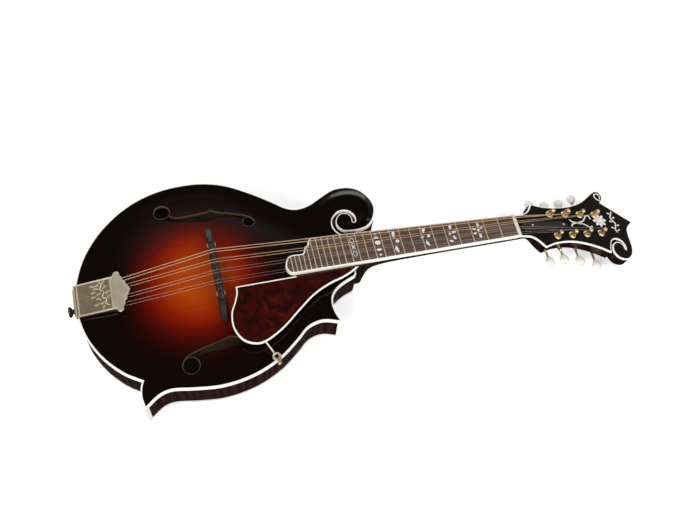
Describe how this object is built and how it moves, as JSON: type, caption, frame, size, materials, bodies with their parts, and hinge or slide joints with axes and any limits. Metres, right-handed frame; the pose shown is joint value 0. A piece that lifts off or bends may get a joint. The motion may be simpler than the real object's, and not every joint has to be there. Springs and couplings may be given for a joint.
{
  "type": "mandolin",
  "caption": "Carved-top mandolin with a scroll, body points and f-holes, double string courses, geared tuners and a height-adjustable bridge.",
  "frame": {"origin": "on the flat crown of the back, on the centre line below the bridge", "axes": "+X from the tail towards the headstock along the centre line, +Y to the bass side, which carries the scroll, +Z out of the top plate"},
  "size_m": [0.6989, 0.262, 0.104],
  "materials": {
    "spruce": "sunburst gloss lacquer",
    "maple": "dark gloss lacquer",
    "ivoroid": "polished cream",
    "rosewood": "oiled",
    "ebony": "black satin",
    "bone": "polished bone",
    "brass": "worn gold plate",
    "nickel": "aged plate",
    "steel": "plain steel",
    "bronze": "bronze winding",
    "pearl": "pearl",
    "tortoise": "tortoiseshell"
  },
  "bodies": {
    "instrument": {"back_binding": "ivoroid", "back_plate": "maple", "bridge_base": "ebony", "bridge_post_bass": "brass", "bridge_post_treble": "brass", "end_pin": "ebony", "fretboard": "rosewood", "fretboard_binding": "ivoroid", "guard_bracket": "brass", "guard_screw": "brass", "head_block": "maple", "headstock_binding": "ivoroid", "headstock_veneer": "ebony", "heel_cap": "ivoroid", "neck": "maple", "nut": "bone", "pickguard": "tortoise", "point_cap_lower": "ivoroid", "point_cap_upper": "ivoroid", "rim": "maple", "string_1": "bronze", "string_2": "bronze", "string_3": "bronze", "string_4": "bronze", "string_5": "steel", "string_6": "steel", "string_7": "steel", "string_8": "steel", "tail_block": "maple", "tailpiece_base": "nickel", "tone_bar_bass": "spruce", "tone_bar_treble": "spruce", "top_binding": "ivoroid", "top_plate": "spruce", "truss_rod": "steel", "truss_rod_cover": "ebony", "tuner_plate_bass": "brass", "tuner_plate_treble": "brass"},
    "post_bass_1": {"tuner_post_bass_1": "brass"},
    "key_bass_1": {"tuner_key_bass_1": "pearl"},
    "post_bass_2": {"tuner_post_bass_2": "brass"},
    "key_bass_2": {"tuner_key_bass_2": "pearl"},
    "post_bass_3": {"tuner_post_bass_3": "brass"},
    "key_bass_3": {"tuner_key_bass_3": "pearl"},
    "post_bass_4": {"tuner_post_bass_4": "brass"},
    "key_bass_4": {"tuner_key_bass_4": "pearl"},
    "post_treble_1": {"tuner_post_treble_1": "brass"},
    "key_treble_1": {"tuner_key_treble_1": "pearl"},
    "post_treble_2": {"tuner_post_treble_2": "brass"},
    "key_treble_2": {"tuner_key_treble_2": "pearl"},
    "post_treble_3": {"tuner_post_treble_3": "brass"},
    "key_treble_3": {"tuner_key_treble_3": "pearl"},
    "post_treble_4": {"tuner_post_treble_4": "brass"},
    "key_treble_4": {"tuner_key_treble_4": "pearl"},
    "saddle": {"bridge_saddle": "ebony"},
    "wheel_bass": {"thumbwheel_bass": "brass"},
    "wheel_treble": {"thumbwheel_treble": "brass"},
    "cover": {"tailpiece_cover": "nickel"},
    "rod_nut": {"truss_rod_nut": "brass"}
  },
  "joints": [
    {"name": "key_bass_1_turn", "type": "hinge", "parent": "instrument", "child": "key_bass_1", "pos_m": [0.39783, 0.01558, 0.01631], "axis": [0.0292, 0.9995, -0.0089], "continuous": true},
    {"name": "post_bass_1_turn", "type": "hinge", "parent": "instrument", "child": "post_bass_1", "pos_m": [0.41216, 0.0153, 0.03242], "axis": [0.2924, 0, 0.9563], "continuous": true},
    {"name": "key_bass_2_turn", "type": "hinge", "parent": "instrument", "child": "key_bass_2", "pos_m": [0.41973, 0.01487, 0.00961], "axis": [0.0292, 0.9995, -0.0089], "continuous": true},
    {"name": "post_bass_2_turn", "type": "hinge", "parent": "instrument", "child": "post_bass_2", "pos_m": [0.43406, 0.0146, 0.02572], "axis": [0.2924, 0, 0.9563], "continuous": true},
    {"name": "key_bass_3_turn", "type": "hinge", "parent": "instrument", "child": "key_bass_3", "pos_m": [0.44163, 0.01418, 0.00291], "axis": [0.0292, 0.9995, -0.0089], "continuous": true},
    {"name": "post_bass_3_turn", "type": "hinge", "parent": "instrument", "child": "post_bass_3", "pos_m": [0.45596, 0.0139, 0.01903], "axis": [0.2924, 0, 0.9563], "continuous": true},
    {"name": "key_bass_4_turn", "type": "hinge", "parent": "instrument", "child": "key_bass_4", "pos_m": [0.46353, 0.01348, -0.00378], "axis": [0.0292, 0.9995, -0.0089], "continuous": true},
    {"name": "post_bass_4_turn", "type": "hinge", "parent": "instrument", "child": "post_bass_4", "pos_m": [0.47786, 0.0132, 0.01233], "axis": [0.2924, 0, 0.9563], "continuous": true},
    {"name": "key_treble_1_turn", "type": "hinge", "parent": "instrument", "child": "key_treble_1", "pos_m": [0.39783, -0.01558, 0.01631], "axis": [0.0292, -0.9995, -0.0089], "continuous": true},
    {"name": "post_treble_1_turn", "type": "hinge", "parent": "instrument", "child": "post_treble_1", "pos_m": [0.41216, -0.0153, 0.03242], "axis": [0.2924, 0, 0.9563], "continuous": true},
    {"name": "key_treble_2_turn", "type": "hinge", "parent": "instrument", "child": "key_treble_2", "pos_m": [0.41973, -0.01487, 0.00961], "axis": [0.0292, -0.9995, -0.0089], "continuous": true},
    {"name": "post_treble_2_turn", "type": "hinge", "parent": "instrument", "child": "post_treble_2", "pos_m": [0.43406, -0.0146, 0.02572], "axis": [0.2924, 0, 0.9563], "continuous": true},
    {"name": "key_treble_3_turn", "type": "hinge", "parent": "instrument", "child": "key_treble_3", "pos_m": [0.44163, -0.01418, 0.00291], "axis": [0.0292, -0.9995, -0.0089], "continuous": true},
    {"name": "post_treble_3_turn", "type": "hinge", "parent": "instrument", "child": "post_treble_3", "pos_m": [0.45596, -0.0139, 0.01903], "axis": [0.2924, 0, 0.9563], "continuous": true},
    {"name": "key_treble_4_turn", "type": "hinge", "parent": "instrument", "child": "key_treble_4", "pos_m": [0.46353, -0.01348, -0.00378], "axis": [0.0292, -0.9995, -0.0089], "continuous": true},
    {"name": "post_treble_4_turn", "type": "hinge", "parent": "instrument", "child": "post_treble_4", "pos_m": [0.47786, -0.0132, 0.01233], "axis": [0.2924, 0, 0.9563], "continuous": true},
    {"name": "saddle_lift", "type": "slide", "parent": "instrument", "child": "saddle", "axis": [0, 0, 1], "range_m": [-0.0018, 0]},
    {"name": "wheel_bass_turn", "type": "hinge", "parent": "saddle", "child": "wheel_bass", "pos_m": [0, 0.03, 0.0771], "axis": [0, 0, 1], "range_deg": [-1021, 0]},
    {"name": "wheel_treble_turn", "type": "hinge", "parent": "saddle", "child": "wheel_treble", "pos_m": [0, -0.03, 0.0771], "axis": [0, 0, 1], "range_deg": [-1021, 0]},
    {"name": "tailpiece_cover_slide", "type": "slide", "parent": "instrument", "child": "cover", "axis": [0.9724, 0, 0.2334], "range_m": [0, 0.03]},
    {"name": "truss_rod_nut_turn", "type": "hinge", "parent": "instrument", "child": "rod_nut", "pos_m": [0.36605, 0, 0.03939], "axis": [0.9964, 0, -0.0844], "range_deg": [-180, 180]}
  ],
  "couplings": [
    {"joint": "post_bass_1_turn", "follows": "key_bass_1_turn", "ratio": 0.071429},
    {"joint": "post_bass_2_turn", "follows": "key_bass_2_turn", "ratio": 0.071429},
    {"joint": "post_bass_3_turn", "follows": "key_bass_3_turn", "ratio": 0.071429},
    {"joint": "post_bass_4_turn", "follows": "key_bass_4_turn", "ratio": 0.071429},
    {"joint": "post_treble_1_turn", "follows": "key_treble_1_turn", "ratio": -0.071429},
    {"joint": "post_treble_2_turn", "follows": "key_treble_2_turn", "ratio": -0.071429},
    {"joint": "post_treble_3_turn", "follows": "key_treble_3_turn", "ratio": -0.071429},
    {"joint": "post_treble_4_turn", "follows": "key_treble_4_turn", "ratio": -0.071429},
    {"joint": "wheel_bass_turn", "follows": "saddle_lift", "rad_per_m": 9894.8},
    {"joint": "wheel_treble_turn", "follows": "saddle_lift", "rad_per_m": 9894.8}
  ]
}
